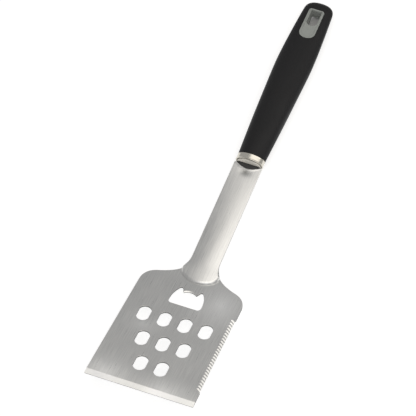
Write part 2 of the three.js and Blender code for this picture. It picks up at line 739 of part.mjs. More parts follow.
// The finished group's origin is under the middle of its own outline, on the table.
function resting() {
  const tipped = new THREE.Group();
  tipped.name = 'spatula_body';
  tipped.rotation.x = -restAngle(EAR_Y, -SHEET);
  tipped.add(...pieces);
  tipped.updateMatrixWorld(true);
  const reach = new THREE.Box3().setFromObject(tipped, true);
  tipped.position.y = -(reach.min.y + reach.max.y) / 2;
  tipped.position.z = -reach.min.z;
  return tipped;
}

const spatula = new THREE.Group();
spatula.name = 'grill_spatula';
spatula.add(resting());
spatula.updateMatrixWorld(true);

export default spatula;
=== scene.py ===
import json
import math

import bmesh
import bpy
from mathutils import Matrix, Vector


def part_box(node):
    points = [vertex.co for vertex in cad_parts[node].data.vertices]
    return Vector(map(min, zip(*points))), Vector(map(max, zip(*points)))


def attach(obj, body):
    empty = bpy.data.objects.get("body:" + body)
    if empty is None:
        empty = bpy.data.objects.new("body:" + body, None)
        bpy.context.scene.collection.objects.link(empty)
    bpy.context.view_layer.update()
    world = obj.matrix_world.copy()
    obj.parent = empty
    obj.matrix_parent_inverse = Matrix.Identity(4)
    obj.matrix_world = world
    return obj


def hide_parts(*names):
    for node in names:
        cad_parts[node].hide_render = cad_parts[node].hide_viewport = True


# Grill spatula: brushed steel turner, polished ferrule, soft black grip with a
# grey lined hanging hole. Pieces are drawn in millimetres with the blade flat
# at z = 0 (x across, y from the blade's front edge to the handle), then tipped
# onto the table as the frame is.

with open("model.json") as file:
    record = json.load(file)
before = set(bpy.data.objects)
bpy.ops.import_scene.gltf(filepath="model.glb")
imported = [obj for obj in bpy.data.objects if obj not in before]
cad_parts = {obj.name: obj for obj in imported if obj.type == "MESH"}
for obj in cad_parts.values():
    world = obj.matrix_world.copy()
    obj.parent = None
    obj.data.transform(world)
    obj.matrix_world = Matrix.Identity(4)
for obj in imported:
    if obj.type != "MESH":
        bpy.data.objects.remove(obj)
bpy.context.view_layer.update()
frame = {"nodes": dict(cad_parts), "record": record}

# ---------- driving dimensions, in millimetres ----------

MM = 0.001
SHEET = 1.5
EDGE_ROUND = 0.16
FRONT_HALF_WIDTH = 49.2
REAR_HALF_WIDTH = 46.9
SIDE_LENGTH = 112.3
CORNER_ROUND = 0.7
EDGE_BEVEL_LENGTH = 5.1
EDGE_BEVEL_DROP = 0.95
EAR_Y = 136.9

SLOT_HALF_WIDTH = 5.45
SLOT_HALF_LENGTH = 8.0
SLOT_END_RADIUS = 5.8
SLOT_PITCH = 18.7
SLOT_ROW_PITCH = 25.6
LAST_ROW_Y = 27.1
SLOT_ROWS = (2, 3, 4)

OPENER_FRONT_Y = 97.6
OPENER_HALF_WIDTH = 14.8
OPENER_NOTCH_X = 9.1
CLAW_TIP_X = 5.7
CLAW_TIP_Y = 112.6
CLAW_MIDDLE_Y = 114.4
CLAW_BEVEL = 1.1
CLAW_BEVEL_DEPTH = 0.8

TEETH = 27
TOOTH_PITCH = 3.05
TEETH_START_Y = 18.6
TOOTH_RADIUS = 1.9
TOOTH_LENGTH = 3.4
TOOTH_SLANT = 0.42
TOOTH_RECESS = 0.7
TOOTH_REACH = 6.0

TONGUE_HALF_WIDTH = 18.0
TONGUE_LENGTH = 12.3
TONGUE_CENTRE_Y = 136.8
TONGUE_INSET = 0.9
TONGUE_CROWN = 1.9
TONGUE_BLEND = 2.3
NECK_THICKNESS = 1.56
NECK_RISE = 0.2385
NECK_FOOT_Y = 123.4
NECK_LEVEL_Y = 137.0
NECK_STRAIGHT_Y = 151.0
NECK_CURVE_Y = 228.0
NECK_LIP_Y = 242.3
NECK_HALF_WIDTH = 12.95
NECK_END_HALF_WIDTH = 12.7
NECK_END_Y = 243.9
NECK_END_CROWN = 0.2
NOSE_LENGTH = 4.4
NOSE_BACK_Y = 244.1
NOSE_HALF_WIDTH = 11.9
NOSE_WIDTH_Y = 240.0
NOSE_LIP = 0.35
DENT_Y = 236.2
DENT_WIDTH = 5.4
DENT_LENGTH = 3.0
DENT_DEPTH = 0.42
NECK_COLUMNS = 64
NECK_EDGE = 0.38
PLATE_CREASE = 8
NECK_CREASE = 32

TANG_HALF_WIDTH = 8.6
TANG_TAPER = 1.6
TANG_THICKNESS = 1.42
TANG_END_Y = 338.0
TANG_HOLES_Y = (276.0, 318.0)
TANG_HOLE_RADIUS = 2.6
TANG_BEND_Y = 243.0
TANG_BEND_LENGTH = 18.0

RING_FRONT_Y = 245.7
RING_LENGTH = 5.7
RING_WALL = 0.8
RING_HALF_WIDTH = 12.5
RING_HALF_HEIGHT = 7.8
RING_BEAD = 0.22
GAP = 0.3
FACE_THICKNESS = 0.9
FACE_PROW = 1.2
FACE_CHORD = 1.75

GRIP_START_Y = RING_FRONT_Y + RING_LENGTH + GAP
GRIP_END_Y = 416.6
GRIP_WALL = 2.4
GRIP_LIP = 0.45
END_ROUNDING = 13.0
END_SQUARENESS = 4.4
GRIP_SIDES = 112

LINER_Y = 391.6
LINER_HALF_LENGTH = 15.5
LINER_HALF_WIDTH = 7.3
LINER_CORNER = 2.2
LINER_RIM = 1.25
LINER_TOP = 5.3
LINER_BOTTOM = -6.3
LINER_RECESS = 0.6
LINER_ROUND = 0.22
HOLE_HALF_WIDTH = 4.9
HOLE_FRONT = -1.8
HOLE_BACK = 14.0
POCKET_REACH = 12.0
WINDOW_X = 2.3
WINDOW_HALF_WIDTH = 1.6
WINDOW_LOW = -4.9
WINDOW_HIGH = -3.6

# ---------- the drawing's place in the frame ----------

rest_axis = next(m for m in frame["record"]["mounts"] if m["name"] == "blade_underside")["axis"]
tip = math.atan2(-rest_axis[1], -rest_axis[2])
blade_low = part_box("blade_and_neck")[0]
place = Vector((
    0,
    blade_low[1] + SHEET * MM * math.sin(tip),
    (EAR_Y * math.sin(tip) + SHEET * math.cos(tip)) * MM,
))
DRAWN = Matrix.Translation(place) @ Matrix.Rotation(-tip, 4, "X")


# ---------- small helpers ----------

def lerp(a, b, t):
    return a + (b - a) * t


def clamp01(t):
    return min(1.0, max(0.0, t))


def bezier(points, steps):
    """Points of a Bezier curve of any degree, without its first one."""
    found = []
    for i in range(1, steps + 1):
        t = i / steps
        row = [Vector(p) for p in points]
        while len(row) > 1:
            row = [a.lerp(b, t) for a, b in zip(row, row[1:])]
        found.append((row[0].x, row[0].y))
    return found


def arc(x, y, radius, start, end, steps):
    angles = [lerp(start, end, i / steps) for i in range(steps + 1)]
    return [(x + radius * math.cos(a), y + radius * math.sin(a)) for a in angles]


def link(name, mesh):
    piece = bpy.data.objects.new(name, mesh)
    bpy.context.scene.collection.objects.link(piece)
    return piece


def mesh_from(name, points, faces):
    mesh = bpy.data.meshes.new(name)
    mesh.from_pydata([tuple(p) for p in points], [], faces)
    return link(name, tidy(mesh))


def tidy(mesh, merge=1e-4):
    work = bmesh.new()
    work.from_mesh(mesh)
    bmesh.ops.remove_doubles(work, verts=work.verts, dist=merge)
    bmesh.ops.recalc_face_normals(work, faces=work.faces)
    work.to_mesh(mesh)
    work.free()
    return mesh


def plate(name, outline, holes, low, high, rounding, corner_steps=2):
    """Flat plate between two heights, with its edges rounded over."""
    curve = bpy.data.curves.new(name, "CURVE")
    curve.dimensions = "2D"
    curve.fill_mode = "BOTH"
    curve.extrude = (high - low) / 2 - rounding
    curve.bevel_depth = rounding
    curve.bevel_resolution = corner_steps
    curve.offset = -rounding
    for loop in [outline, *holes]:
        spline = curve.splines.new("POLY")
        spline.points.add(len(loop) - 1)
        for point, (x, y) in zip(spline.points, loop):
            point.co = (x, y, 0, 1)
        spline.use_cyclic_u = True
    drawn = bpy.data.objects.new(name, curve)
    mesh = bpy.data.meshes.new_from_object(drawn)
    bpy.data.objects.remove(drawn)
    bpy.data.curves.remove(curve)
    mesh.transform(Matrix.Translation((0, 0, (low + high) / 2)))
    return link(name, tidy(mesh, rounding / 20 if rounding else 1e-4))


def loft(name, loops):
    """Closed loops of equal count, one after another, capped at both ends."""
    count = len(loops[0])
    points = [p for loop in loops for p in loop]
    faces = []
    for r in range(len(loops) - 1):
        for c in range(count):
            n = (c + 1) % count
            faces.append((r * count + c, r * count + n, (r + 1) * count + n, (r + 1) * count + c))
    for r in (0, len(loops) - 1):
        points.append(sum((Vector(p) for p in loops[r]), Vector()) / count)
        for c in range(count):
            faces.append((len(points) - 1, r * count + (c + 1) % count, r * count + c))
    return mesh_from(name, points, faces)


def bake(piece):
    """Turns a piece's modifiers into plain mesh."""
    graph = bpy.context.evaluated_depsgraph_get()
    mesh = bpy.data.meshes.new_from_object(piece.evaluated_get(graph))
    piece.modifiers.clear()
    old = piece.data
    piece.data = mesh
    bpy.data.meshes.remove(old)


def combine(piece, other, operation, crossing=False):
    """Joins the other solid to the piece, or cuts it away, and uses it up."""
    step = piece.modifiers.new(operation.lower(), "BOOLEAN")
    step.operation = operation
    step.solver = "EXACT"
    step.use_self = crossing
    step.object = other
    bake(piece)
    mesh = other.data
    bpy.data.objects.remove(other)
    bpy.data.meshes.remove(mesh)


def gather(piece, other):
    """Puts the other shell, which sinks into the piece, into the same mesh."""
    work = bmesh.new()
    work.from_mesh(piece.data)
    work.from_mesh(other.data)
    work.to_mesh(piece.data)
    work.free()
    mesh = other.data
    bpy.data.objects.remove(other)
    bpy.data.meshes.remove(mesh)


def shade(piece, crease):
    """Smooth, but for the edges that turn by more than the crease angle."""
    piece.data.polygons.foreach_set("use_smooth", [True] * len(piece.data.polygons))
    piece.data.set_sharp_from_angle(angle=math.radians(crease))


def finish_piece(piece, node, materials, crease=32):
    if crease:
        shade(piece, crease)
    mesh = piece.data
    chosen = [face.material_index for face in mesh.polygons]
    grain = mesh.uv_layers.new(name="grain")
    for loop in mesh.loops:
        x, y, _ = mesh.vertices[loop.vertex_index].co
        grain.data[loop.index].uv = (x / 100, y / 100)
    mesh.transform(DRAWN @ Matrix.Scale(MM, 4))
    weighted = piece.modifiers.new("shading", "WEIGHTED_NORMAL")
    weighted.keep_sharp = True
    mesh.materials.clear()
    for material in materials:
        mesh.materials.append(material)
    mesh.polygons.foreach_set("material_index", chosen)
    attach(piece, "root")
    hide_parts(node)


# ---------- materials ----------

ROLL_LENGTH = 0.022
ROLL_DROP = 0.0007
WAVE = 0.0022
GRAIN_DEPTH = 0.000008
# Painted reflections and shade: slow lighter and darker patches laid on the steel's colour where the sheet's
# reflections fall: middle, reach and gain.
PAINTED_REFLECTION_PATCHES = (
    ((0.030, 0.110, 0), (0.042, 0.046, 0.02), 0.30),
    ((-0.034, 0.008, 0), (0.036, 0.028, 0.02), 0.24),
    ((-0.024, 0.066, 0), (0.024, 0.018, 0.02), 0.14),
    ((0.022, 0.006, 0), (0.040, 0.024, 0.02), 0.24),
    # Painted reflection: a dark patch in the dent before the nose, standing in for the black handle mirrored
    # there.
    ((0, 0.2365, 0.0265), (0.0085, 0.0065, 0.02), -0.45),
)


def new_material(name, color, metallic, roughness):
    material = bpy.data.materials.new(name)
    material.use_nodes = True
    shader = material.node_tree.nodes["Principled BSDF"]
    shader.inputs["Base Color"].default_value = (*color, 1)
    shader.inputs["Metallic"].default_value = metallic
    shader.inputs["Roughness"].default_value = roughness
    return material, shader


def drawn_space(material, stretch=(1, 1, 1), middle=(0, 0, 0)):
    """Metres in the untipped drawing, from a middle point, times the stretch."""
    tree = material.node_tree
    where = tree.nodes.new("ShaderNodeTexCoord")
    mapping = tree.nodes.new("ShaderNodeMapping")
    mapping.vector_type = "TEXTURE"
    mapping.inputs["Location"].default_value = DRAWN @ Vector(middle)
    mapping.inputs["Rotation"].default_value = (-tip, 0, 0)
    mapping.inputs["Scale"].default_value = [1 / k for k in stretch]
    tree.links.new(where.outputs["Object"], mapping.inputs["Vector"])
    return mapping.outputs["Vector"]


def stretched_noise(material, scale, stretch, detail=2.0, rough=0.5):
    """Noise in the drawing's space, drawn out by the stretch along x, y and z."""
    tree = material.node_tree
    noise = tree.nodes.new("ShaderNodeTexNoise")
    noise.inputs["Scale"].default_value = scale
    noise.inputs["Detail"].default_value = detail
    noise.inputs["Roughness"].default_value = rough
    tree.links.new(drawn_space(material, stretch), noise.inputs["Vector"])
    return noise.outputs["Fac"]


def ranged(material, value, low, high, source=(0.3, 0.7)):
    tree = material.node_tree
    node = tree.nodes.new("ShaderNodeMapRange")
    node.inputs["From Min"].default_value = source[0]
    node.inputs["From Max"].default_value = source[1]
    node.inputs["To Min"].default_value = low
    node.inputs["To Max"].default_value = high
    tree.links.new(value, node.inputs["Value"])
    return node.outputs["Result"]


def tinted(material, value, dark, light, source=(0.3, 0.7)):
    tree = material.node_tree
    node = tree.nodes.new("ShaderNodeMix")
    node.data_type = "RGBA"
    node.inputs["A"].default_value = (*dark, 1)
    node.inputs["B"].default_value = (*light, 1)
    tree.links.new(ranged(material, value, 0, 1, source), node.inputs["Factor"])
    return node.outputs["Result"]


def bumped(material, shader, value, distance, strength=1.0):
    tree = material.node_tree
    node = tree.nodes.new("ShaderNodeBump")
    node.inputs["Distance"].default_value = distance
    node.inputs["Strength"].default_value = strength
    tree.links.new(value, node.inputs["Height"])
    tree.links.new(node.outputs["Normal"], shader.inputs["Normal"])


def across_grain(material, shader, amount):
    """Highlights spread across the brushing, which runs along y."""
    tree = material.node_tree
    tangent = tree.nodes.new("ShaderNodeTangent")
    tangent.direction_type = "UV_MAP"
    tangent.uv_map = "grain"
    shader.inputs["Anisotropic"].default_value = amount
    tree.links.new(tangent.outputs["Tangent"], shader.inputs["Tangent"])


def math_node(material, operation, value, other):
    node = material.node_tree.nodes.new("ShaderNodeMath")
    node.operation = operation
    material.node_tree.links.new(value, node.inputs[0])
    if isinstance(other, (int, float)):
        node.inputs[1].default_value = other
    else:
        material.node_tree.links.new(other, node.inputs[1])
    return node.outputs["Value"]


def rolled_front(material):
    """Height of the sheet's slow roll-down towards its front edge, as minus a square."""
    tree = material.node_tree
    split = tree.nodes.new("ShaderNodeSeparateXYZ")
    tree.links.new(drawn_space(material), split.inputs["Vector"])
    depth = ranged(material, split.outputs["Y"], 1, 0, (0, ROLL_LENGTH))
    return math_node(material, "MULTIPLY", math_node(material, "POWER", depth, 2), -1)


def soft_patch(material, middle, size):
    """1 at a point of the drawing, fading to 0 over the given reach in metres."""
    tree = material.node_tree
    node = tree.nodes.new("ShaderNodeTexGradient")
    node.gradient_type = "QUADRATIC_SPHERE"
    stretch = [1 / k for k in size]
    tree.links.new(drawn_space(material, stretch, middle), node.inputs["Vector"])
    return node.outputs["Fac"]


def lightened(material, color, share, gain):
    """The colour with the gain added by the share: below zero it darkens."""
    tree = material.node_tree
    node = tree.nodes.new("ShaderNodeMix")
    node.data_type = "RGBA"
    node.blend_type = "ADD" if gain > 0 else "SUBTRACT"
    node.inputs["B"].default_value = (abs(gain), abs(gain), abs(gain), 1)
    tree.links.new(color, node.inputs["A"])
    tree.links.new(share, node.inputs["Factor"])
    return node.outputs["Result"]


def brushed_steel(name="brushed_steel", dark=(0.60, 0.60, 0.595), light=(0.76, 0.76, 0.745)):
    """Grain along the tool, a slow unevenness in the sheet, a slight roll at its front, and painted patches
    of reflected light and shade in its colour.
    """
    material, shader = new_material(name, light, 1.0, 0.3)
    link_to = material.node_tree.links.new
    fine = stretched_noise(material, scale=60, stretch=(34, 0.8, 0.8), detail=4.0, rough=0.65)
    broad = stretched_noise(material, scale=11, stretch=(1.6, 0.8, 1), detail=1.0, rough=0.4)
    color = tinted(material, fine, dark, light)
    # Painted reflections and shade: each patch lightens or darkens the steel's colour.
    for middle, size, gain in PAINTED_REFLECTION_PATCHES:
        color = lightened(material, color, soft_patch(material, middle, size), gain)
    link_to(color, shader.inputs["Base Color"])
    link_to(ranged(material, fine, 0.27, 0.35), shader.inputs["Roughness"])
    tree = material.node_tree
    normal = None
    for value, distance in ((rolled_front(material), ROLL_DROP), (broad, WAVE), (fine, GRAIN_DEPTH)):
        node = tree.nodes.new("ShaderNodeBump")
        node.inputs["Distance"].default_value = distance
        node.inputs["Strength"].default_value = 1
        tree.links.new(value, node.inputs["Height"])
        if normal:
            tree.links.new(normal, node.inputs["Normal"])
        normal = node.outputs["Normal"]
    tree.links.new(normal, shader.inputs["Normal"])
    across_grain(material, shader, 0.6)
    return material


def polished_steel():
    material, shader = new_material("polished_steel", color=(0.80, 0.77, 0.70), metallic=1.0, roughness=0.22)
    link_to = material.node_tree.links.new
    smear = stretched_noise(material, scale=90, stretch=(1, 1.6, 1), detail=2.0, rough=0.5)
    link_to(ranged(material, smear, 0.2, 0.27), shader.inputs["Roughness"])
    link_to(tinted(material, smear, (0.64, 0.615, 0.55), (0.72, 0.69, 0.62)), shader.inputs["Base Color"])
    bumped(material, shader, smear, 0.00002, 0.25)
    return material


def satin_steel():
    material, shader = new_material("satin_steel", color=(0.86, 0.83, 0.76), metallic=0.35, roughness=0.3)
    link_to = material.node_tree.links.new
    fine = stretched_noise(material, scale=60, stretch=(1.5, 1.5, 45), detail=3.0, rough=0.6)
    link_to(ranged(material, fine, 0.24, 0.36), shader.inputs["Roughness"])
    bumped(material, shader, fine, 0.00001, 0.5)
    return material


def core_plastic():
    material, shader = new_material("core_plastic", color=(0.018, 0.018, 0.018), metallic=0.0, roughness=0.38)
    link_to = material.node_tree.links.new
    fine = stretched_noise(material, scale=900, stretch=(1, 1, 1), detail=2.0, rough=0.5)
    link_to(ranged(material, fine, 0.32, 0.46), shader.inputs["Roughness"])
    bumped(material, shader, fine, 0.00002, 0.3)
    return material


def soft_rubber():
    material, shader = new_material("soft_rubber", color=(0.010, 0.010, 0.011), metallic=0.0, roughness=0.55)
    shader.inputs["Specular IOR Level"].default_value = 0.26
    link_to = material.node_tree.links.new
    fine = stretched_noise(material, scale=2200, stretch=(1, 1, 1), detail=3.0, rough=0.6)
    broad = stretched_noise(material, scale=60, stretch=(1, 0.4, 1), detail=3.0, rough=0.55)
    link_to(ranged(material, broad, 0.47, 0.62), shader.inputs["Roughness"])
    link_to(tinted(material, fine, (0.006, 0.006, 0.007), (0.014, 0.014, 0.015)), shader.inputs["Base Color"])
    bumped(material, shader, fine, 0.00004, 0.35)
    return material


def grey_plastic():
    material, shader = new_material("grey_plastic", color=(0.27, 0.285, 0.27), metallic=0.0, roughness=0.42)
    link_to = material.node_tree.links.new
    fine = stretched_noise(material, scale=1500, stretch=(1, 1, 1), detail=2.0, rough=0.5)
    link_to(ranged(material, fine, 0.36, 0.5), shader.inputs["Roughness"])
    link_to(tinted(material, fine, (0.26, 0.277, 0.262), (0.30, 0.318, 0.302)), shader.inputs["Base Color"])
    bumped(material, shader, fine, 0.00002, 0.3)
    return material


def shade_painted_cut_steel():
    """The sheared sides of the sheet: rougher than its faces, and painted darker as the shade along the
    sheet's edges.
    """
    material, shader = new_material("shade_painted_cut_steel", color=(0.14, 0.14, 0.135), metallic=1.0, roughness=0.5)
    link_to = material.node_tree.links.new
    fine = stretched_noise(material, scale=400, stretch=(1, 1, 0.3), detail=3.0, rough=0.6)
    link_to(tinted(material, fine, (0.10, 0.10, 0.098), (0.19, 0.19, 0.185)), shader.inputs["Base Color"])
    link_to(ranged(material, fine, 0.42, 0.58), shader.inputs["Roughness"])
    return material


GROUND_FACE, CUT_FACE = 1, 2
STEEL = brushed_steel()
GROUND = brushed_steel("ground_steel", (0.86, 0.86, 0.845), (0.97, 0.97, 0.95))
CUT_WITH_PAINTED_SHADE = shade_painted_cut_steel()
POLISHED = polished_steel()
SATIN = satin_steel()
CORE = core_plastic()
RUBBER = soft_rubber()
GREY = grey_plastic()


# ---------- blade ----------

SHOULDER = [(REAR_HALF_WIDTH, SIDE_LENGTH), (46.7, 119.6), (42.6, 124.6), (36.0, 126.8)]
THROAT = [(36.0, 126.8), (19.5, 132.1), (NECK_HALF_WIDTH, 138.8), (NECK_HALF_WIDTH, 149.3)]
throat_points = [THROAT[0], *bezier(THROAT, 90)]


def half_width(y):
    """Half the blank's width at y, from the throat to the neck's end."""
    if y >= THROAT[-1][1]:
        share = (y - THROAT[-1][1]) / (NECK_END_Y - THROAT[-1][1])
        return lerp(NECK_HALF_WIDTH, NECK_END_HALF_WIDTH, share)
    for a, b in zip(throat_points, throat_points[1:]):
        if b[1] > y:
            return lerp(a[0], b[0], (y - a[1]) / (b[1] - a[1]))
    return NECK_HALF_WIDTH


def side_x(y):
    return lerp(FRONT_HALF_WIDTH, REAR_HALF_WIDTH, y / SIDE_LENGTH)


def blade_outline():
    teeth_start = TEETH_START_Y - TOOTH_PITCH / 2
    teeth_end = teeth_start + TEETH * TOOTH_PITCH
    ramp = TOOTH_RECESS / 2
    start = (FRONT_HALF_WIDTH - CORNER_ROUND, 0)
    corner = [start, (FRONT_HALF_WIDTH, 0), (side_x(CORNER_ROUND), CORNER_ROUND)]
    front = [start, *bezier(corner, 5)]
    rear = [*bezier(SHOULDER, 20), *[p for p in throat_points if 127 < p[1] < EAR_Y - 0.3]]
    rear.append((half_width(EAR_Y), EAR_Y))
    teeth = [
        (side_x(teeth_start - ramp), teeth_start - ramp),
        (side_x(teeth_start) - TOOTH_RECESS, teeth_start),
        (side_x(teeth_end) - TOOTH_RECESS, teeth_end),
        (side_x(teeth_end + ramp), teeth_end + ramp),
    ]
    width = TONGUE_HALF_WIDTH - TONGUE_INSET
    length = TONGUE_LENGTH - TONGUE_INSET
    rim = [
        (width * math.cos(math.pi * i / 40), TONGUE_CENTRE_Y - length * math.sin(math.pi * i / 40))
        for i in range(1, 40)
    ]
    side = [(REAR_HALF_WIDTH, SIDE_LENGTH)]
    right = [*front, *teeth, *side, *rear]
    left = [(-x, y) for x, y in [*front, *side, *rear]][::-1]
    return [*right, *rim, *left]


def drain_slot(x, y):
    reach = math.asin(SLOT_HALF_WIDTH / SLOT_END_RADIUS)
    offset = SLOT_HALF_LENGTH - SLOT_END_RADIUS
    half = math.pi / 2
    back = arc(x, y + offset, SLOT_END_RADIUS, half + reach, half - reach, 14)
    front = arc(x, y - offset, SLOT_END_RADIUS, -half + reach, -half - reach, 14)
    return [*back, *front]


def opener_window():
    w = OPENER_HALF_WIDTH
    tip_x = CLAW_TIP_X
    claw_side = (tip_x + 0.6, CLAW_TIP_Y + 0.4)
    claw_nose = (tip_x - 0.5, CLAW_TIP_Y + 0.1)
    half = [
        (11.8, OPENER_FRONT_Y),
        *bezier([(11.8, OPENER_FRONT_Y), (w, OPENER_FRONT_Y + 0.2), (w, 101.8)], 7),
        *bezier([(w, 101.8), (w, 107.3), (13.2, 112.4), (10.6, 116.2)], 12),
        *bezier([(10.6, 116.2), (OPENER_NOTCH_X, 117.8), (7.9, 116.2)], 7),
        claw_side,
        *bezier([claw_side, (tip_x + 0.2, CLAW_TIP_Y - 0.3), claw_nose], 5),
        *bezier([claw_nose, (tip_x / 2, CLAW_MIDDLE_Y), (0, CLAW_MIDDLE_Y)], 8)[:-1],
    ]
    return [*half, (0, CLAW_MIDDLE_Y), *[(-x, y) for x, y in half[::-1]]]


def grind_front_edge(piece):
    """Slopes the sheet's top down over the last few millimetres."""
    work = bmesh.new()
    work.from_mesh(piece.data)
    everything = [*work.verts, *work.edges, *work.faces]
    line = (0, EDGE_BEVEL_LENGTH, 0)
    bmesh.ops.bisect_plane(work, geom=everything, plane_co=line, plane_no=(0, 1, 0), dist=1e-4)
    for v in work.verts:
        if v.co.y < EDGE_BEVEL_LENGTH:
            share = 1 - v.co.y / EDGE_BEVEL_LENGTH
            v.co.z -= EDGE_BEVEL_DROP * share * (v.co.z + SHEET) / SHEET
    work.to_mesh(piece.data)
    work.free()


def claw_chamfer():
    """Wedge under the arched lip's top edge, to be cut away."""
    rows = []
    for i in range(17):
        x = lerp(-CLAW_TIP_X - 0.2, CLAW_TIP_X + 0.2, i / 16)
        y = lerp(CLAW_MIDDLE_Y, CLAW_TIP_Y, (x / CLAW_TIP_X) ** 2)
        low = -CLAW_BEVEL_DEPTH
        foot = [(x, y - 1, low), (x, y - 0.05, low), (x, y + CLAW_BEVEL, 0.02)]
        rows.append([(x, y - 1, 1), *foot, (x, y + CLAW_BEVEL, 1)])
    return loft("claw_chamfer", rows)


def tooth_flutes():
    """All the slanting flutes ground into the top of the right-hand edge."""
    points, faces, sides = [], [], 36
    for i in range(TEETH):
        y = TEETH_START_Y + i * TOOTH_PITCH
        edge = side_x(y) - TOOTH_RECESS
        turn = Matrix.Rotation(-TOOTH_SLANT, 4, "Z")
        dip = Matrix.Rotation(math.atan2(SHEET * 0.85, TOOTH_LENGTH), 4, "Y")
        start = Matrix.Translation((edge - TOOTH_LENGTH, y + 0.6, -0.02))
        matrix = start @ turn @ dip @ Matrix.Translation((0, 0, TOOTH_RADIUS))
        base = len(points)
        for x in (-TOOTH_REACH, TOOTH_REACH):
            for k in range(sides):
                angle = 2 * math.pi * k / sides
                across, up = TOOTH_RADIUS * math.cos(angle), TOOTH_RADIUS * math.sin(angle)
                points.append(matrix @ Vector((x, across, up)))
        for k in range(sides):
            n = (k + 1) % sides
            faces.append((base + k, base + n, base + sides + n, base + sides + k))
        faces.append(tuple(base + k for k in range(sides))[::-1])
        faces.append(tuple(base + sides + k for k in range(sides)))
    mesh = bpy.data.meshes.new("flutes")
    mesh.from_pydata([tuple(p) for p in points], [], faces)
    return link("flutes", tidy(mesh, 1e-6))


# ---------- neck and tang ----------

def axis_height(y):
    return 31.15 + 0.221 * (y - 257.3) - 0.00011 * (y - 257.3) ** 2


def axis_slope(y):
    return 0.221 - 0.00022 * (y - 257.3)


def across_neck(x, y):
    return x / half_width(max(y, NECK_LEVEL_Y))


def neck_top(x, y):
    """The neck's crowned top, with a shallow dent in front of the handle's nose."""
    along = clamp01((y - 125) / (NECK_END_Y - 125))
    crown = lerp(TONGUE_CROWN, NECK_END_CROWN, along) * (1 - min(1, across_neck(x, y) ** 2))
    dent = math.exp(-((x / DENT_WIDTH) ** 2) - ((y - DENT_Y) / DENT_LENGTH) ** 2)
    return NECK_RISE * (y - NECK_FOOT_Y) + crown - DENT_DEPTH * dent


def neck_loop(reach, y, bulge, pointed, height):
    """Closed section of the neck: along its top, then back along its underside."""
    top, under = [], []
    for c in range(NECK_COLUMNS + 1):
        u = math.sin(math.pi * (c / NECK_COLUMNS - 0.5))
        round_share = math.sqrt(max(0, 1 - u * u))
        share = lerp(round_share, math.cos(math.pi * u / 2), pointed)
        x = reach * u
        line = y - bulge * share
        high, low = height(x, line)
        inside = min(NECK_EDGE, reach - abs(x))
        worn = NECK_EDGE - math.sqrt(max(0, NECK_EDGE ** 2 - (NECK_EDGE - inside) ** 2))
        top.append((x, line, high - worn))
        under.append((x, line, low + worn))
    return [*top, *under[::-1]]


def tongue_rise(distance):
    t = clamp01((distance + 0.1) / TONGUE_BLEND)
    return t * (2 - t)


def tongue_loops():
    loops = []
    for inset in (-0.55, -0.1, *[0.15 + 0.2 * i for i in range(9)], 2.0, 2.25, 2.5):
        share = tongue_rise(inset)
        ahead = max(0, inset) * 0.75

        def height(x, y, share=share, buried=inset < 0):
            if buried:
                return -0.3, -1.2
            high = share * neck_top(x, y) + 0.02
            return high, high - lerp(1.35, NECK_THICKNESS, share) - share * (1 - share)

        y = TONGUE_CENTRE_Y + 0.05 + ahead
        reach = min(TONGUE_HALF_WIDTH - inset, half_width(y) - 0.02)
        loops.append(neck_loop(reach, y, TONGUE_LENGTH - inset + ahead, 0, height))
    return loops


def plain_height(x, y):
    high = neck_top(x, y)
    return high, high - NECK_THICKNESS


def neck_loops():
    loops = []
    for i in range(1, 15):
        step = (i / 14) ** 1.2
        y = lerp(TONGUE_CENTRE_Y + 2.2, NECK_STRAIGHT_Y, step)
        bulge = lerp(TONGUE_LENGTH - 0.6, 0, step ** 0.8)
        loops.append(neck_loop(half_width(y), y, bulge, 0, plain_height))
    for i in range(1, 14):
        y = lerp(NECK_STRAIGHT_Y, NECK_CURVE_Y, i / 13)
        loops.append(neck_loop(half_width(y), y, 0, 0, plain_height))
    for i in range(1, 11):
        y = lerp(NECK_CURVE_Y, NECK_LIP_Y, i / 10)
        loops.append(neck_loop(half_width(NOSE_WIDTH_Y), y, lerp(0, 4.9, i / 10), 1, plain_height))
    return loops


def lip_loops():
    """The neck's end rises in a low lip around the handle's black nose."""
    loops = []
    rising = [(-2.6, 0), (-1.9, 0.08), (-1.5, 0.25), (-1.2, 0.62), (-0.9, 1)]
    steps = [*rising, (-0.6, 1), (-0.4, 0.85), (-0.15, 0), (2, 0)]
    for offset, share in steps:

        def height(x, y, share=share):
            inside = 1 - min(1, abs(x) / NOSE_HALF_WIDTH) ** 6
            high = neck_top(x, y)
            return high + NOSE_LIP * share * inside, high - NECK_THICKNESS

        y = min(NECK_END_Y - 0.1, NOSE_BACK_Y + offset * 0.6)
        bulge = NOSE_LENGTH - (NOSE_BACK_Y - NECK_END_Y) - offset * 0.4 - max(0, offset) * 1.6
        loops.append(neck_loop(half_width(NOSE_WIDTH_Y), y, bulge, 1, height))
    loops.append(neck_loop(half_width(NOSE_WIDTH_Y), NECK_END_Y, 0, 1, plain_height))
    return loops


def tang_height(y):
    blend = clamp01((y - TANG_BEND_Y) / TANG_BEND_LENGTH)
    return lerp(NECK_RISE * (y - NECK_FOOT_Y) - 0.06, axis_height(y) + 0.7, blend)


def tang():
    loops = []
    for y in (236, 244, 250, 256, 262, 276, 290, 304, 318, 330, TANG_END_Y):
        width = TANG_HALF_WIDTH - TANG_TAPER * max(0, (y - 250) / 88)
        top = tang_height(y)
        low = top - TANG_THICKNESS
        loops.append([(-width, y, top), (width, y, top), (width, y, low), (-width, y, low)])
    strip = loft("tang", loops)
    for y in TANG_HOLES_Y:
        combine(strip, post(TANG_HOLE_RADIUS, y), "DIFFERENCE")
    return strip


def post(radius, y):
    ring = arc(0, y, radius, 0, 2 * math.pi, 32)[:-1]
    middle = axis_height(y)
    return loft("post", [[(x, k, middle + z) for x, k in ring] for z in (-4, 4)])


